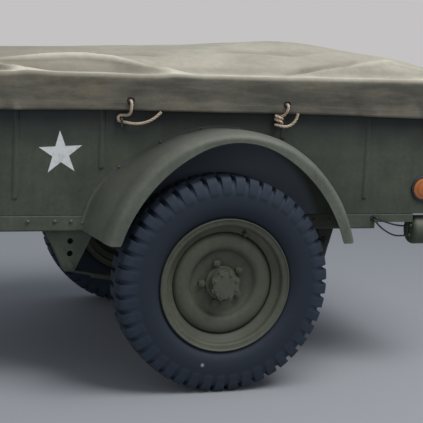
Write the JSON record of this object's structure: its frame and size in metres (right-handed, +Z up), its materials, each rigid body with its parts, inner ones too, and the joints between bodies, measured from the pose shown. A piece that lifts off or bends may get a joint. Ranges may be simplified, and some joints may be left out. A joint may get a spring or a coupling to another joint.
{
  "type": "army two-wheel cargo trailer",
  "caption": "Light army cargo trailer: open steel tub on two disc wheels with round fenders, drawbar with towing ring, folding prop leg and tied canvas cover.",
  "frame": {"origin": "bottom centre of the bounding box, on the ground", "axes": "+X to the front, where the towing ring is; +Y to the left; +Z up"},
  "size_m": [2.7834, 1.422, 1.134],
  "materials": {
    "olive_paint": "matte",
    "tyre_rubber": "matte",
    "canvas": "matte",
    "amber_lens": "gloss",
    "black_rubber": "matte",
    "brass": "satin",
    "rope": "matte",
    "red_lens": "gloss"
  },
  "bodies": {
    "chassis": {"axle": "olive_paint", "spring_clamps": "olive_paint", "cross_member_front": "olive_paint", "cross_member_hanger": "olive_paint", "cross_member_shackle": "olive_paint", "cross_member_rear": "olive_paint", "drawbar_tie": "olive_paint", "nose_block": "olive_paint", "lunette": "olive_paint", "leg_bracket": "olive_paint", "tub_floor": "olive_paint", "tub_front": "olive_paint", "tub_rear": "olive_paint", "cover": "canvas", "reflectors_side": "amber_lens", "reflectors_rear": "red_lens", "lamp_lenses": "red_lens", "lamp_brackets": "olive_paint", "tie_hooks": "olive_paint", "eyelets": "brass", "wire_grommets": "black_rubber", "reflector_housings": "black_rubber", "rope_front": "rope", "rope_rear": "rope", "lamp_wires": "black_rubber", "backing_plate_left": "olive_paint", "backing_plate_right": "olive_paint", "leaf_spring_left": "olive_paint", "leaf_spring_right": "olive_paint", "spring_hanger_left": "olive_paint", "spring_hanger_right": "olive_paint", "spring_shackle_left": "olive_paint", "spring_shackle_right": "olive_paint", "side_rail_left": "olive_paint", "side_rail_right": "olive_paint", "drawbar_leg_left": "olive_paint", "drawbar_leg_right": "olive_paint", "tub_side_left": "olive_paint", "tub_side_right": "olive_paint", "fender_left": "olive_paint", "fender_right": "olive_paint", "tail_lamp_left": "olive_paint", "tail_lamp_right": "olive_paint"},
    "wheel_left": {"tyre_left": "tyre_rubber", "wheel_left": "olive_paint", "hub_left": "olive_paint"},
    "wheel_right": {"tyre_right": "tyre_rubber", "wheel_right": "olive_paint", "hub_right": "olive_paint"},
    "prop_leg": {"landing_leg": "olive_paint", "leg_foot": "olive_paint"}
  },
  "joints": [
    {"name": "wheel_left_spin", "type": "hinge", "parent": "chassis", "child": "wheel_left", "pos_m": [-0.45175, 0.622, 0.36], "axis": [0, 1, 0], "continuous": true},
    {"name": "wheel_right_spin", "type": "hinge", "parent": "chassis", "child": "wheel_right", "pos_m": [-0.45175, -0.622, 0.36], "axis": [0, 1, 0], "continuous": true},
    {"name": "prop_leg_fold", "type": "hinge", "parent": "chassis", "child": "prop_leg", "pos_m": [1.04825, 0, 0.474], "axis": [0, 1, 0], "range_deg": [0, 88]}
  ]
}
